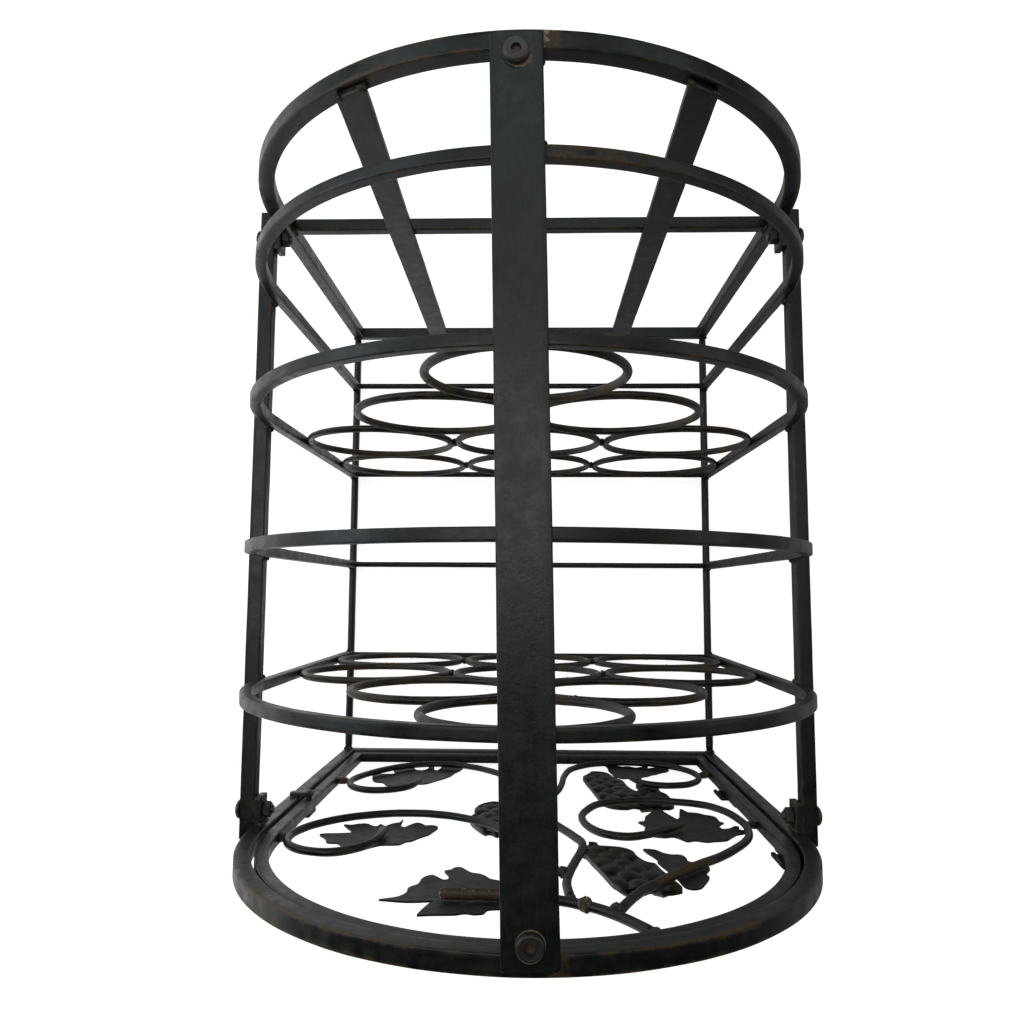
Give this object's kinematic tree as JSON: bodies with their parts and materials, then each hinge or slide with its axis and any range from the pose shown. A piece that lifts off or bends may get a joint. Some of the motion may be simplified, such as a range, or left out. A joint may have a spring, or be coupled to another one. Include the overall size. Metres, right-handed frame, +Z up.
{
  "type": "wine rack",
  "caption": "Arched wrought-iron wine rack: two end frames and hoops carry rows of bottle rings, closed by a hinged door with vine scrolls, leaves and grapes.",
  "frame": {"origin": "centre of the bounding box, on the plane that the rack stands on", "axes": "+Z up, -Y out of the door side (front), +X to the right seen from the front; the bottles lie along Y"},
  "size_m": [0.3342, 0.3798, 0.395],
  "materials": {
    "painted_bar": "satin black, hand brushed, worn at edges and welds",
    "painted_wire": "satin black with brown rub-through",
    "painted_sheet": "satin black sheet iron, embossed veins",
    "antiqued_grapes": "black with an olive-brown antique rub",
    "bolt_steel": "blackened steel, chipped at the rim"
  },
  "bodies": {
    "rack": {"back_crossbar": "painted_bar", "back_frame": "painted_bar", "back_slat_center": "painted_bar", "back_slat_left": "painted_bar", "back_slat_right": "painted_bar", "base_rail_left": "painted_wire", "base_rail_right": "painted_wire", "front_frame": "painted_bar", "front_ring_1": "painted_wire", "front_ring_2": "painted_wire", "front_ring_3": "painted_wire", "front_ring_4": "painted_wire", "front_ring_5": "painted_wire", "front_ring_6": "painted_wire", "front_ring_7": "painted_wire", "front_ring_8": "painted_wire", "front_ring_9": "painted_wire", "hoop_1": "painted_bar", "hoop_2": "painted_bar", "hoop_3": "painted_bar", "hoop_4": "painted_bar", "lower_hinge_pintle": "painted_bar", "rail_bolt_left_back": "bolt_steel", "rail_bolt_left_front": "bolt_steel", "rail_bolt_right_back": "bolt_steel", "rail_bolt_right_front": "bolt_steel", "rear_ring_1": "painted_wire", "rear_ring_2": "painted_wire", "rear_ring_3": "painted_wire", "rear_ring_4": "painted_wire", "rear_ring_5": "painted_wire", "rear_ring_6": "painted_wire", "rear_ring_7": "painted_wire", "rear_ring_8": "painted_wire", "rear_ring_9": "painted_wire", "ridge_bar": "painted_bar", "ridge_bolt_back": "bolt_steel", "ridge_bolt_front": "bolt_steel", "side_rail_left": "painted_bar", "side_rail_right": "painted_bar", "upper_hinge_pintle": "painted_bar"},
    "door": {"door_frame": "painted_bar", "left_leaf": "painted_sheet", "left_vine": "painted_wire", "lower_grapes": "antiqued_grapes", "lower_hinge_barrel": "painted_bar", "lower_left_leaf": "painted_sheet", "lower_left_vine": "painted_wire", "lower_right_leaf": "painted_sheet", "middle_grapes": "antiqued_grapes", "right_leaf": "painted_sheet", "right_vine": "painted_wire", "top_branch": "painted_wire", "upper_grapes": "antiqued_grapes", "upper_hinge_barrel": "painted_bar", "upper_left_leaf": "painted_sheet", "upper_right_leaf": "painted_sheet", "vine_stem": "painted_wire"},
    "latch": {"latch_turn": "bolt_steel"}
  },
  "joints": [
    {"name": "door_hinge", "type": "hinge", "parent": "rack", "child": "door", "pos_m": [0.1457, -0.1864, 0.168], "axis": [0, 0, 1], "range_deg": [0, 160]},
    {"name": "latch_pivot", "type": "hinge", "parent": "door", "child": "latch", "pos_m": [-0.1414, -0.1791, 0.163], "axis": [0, 1, 0], "range_deg": [0, 90]}
  ]
}
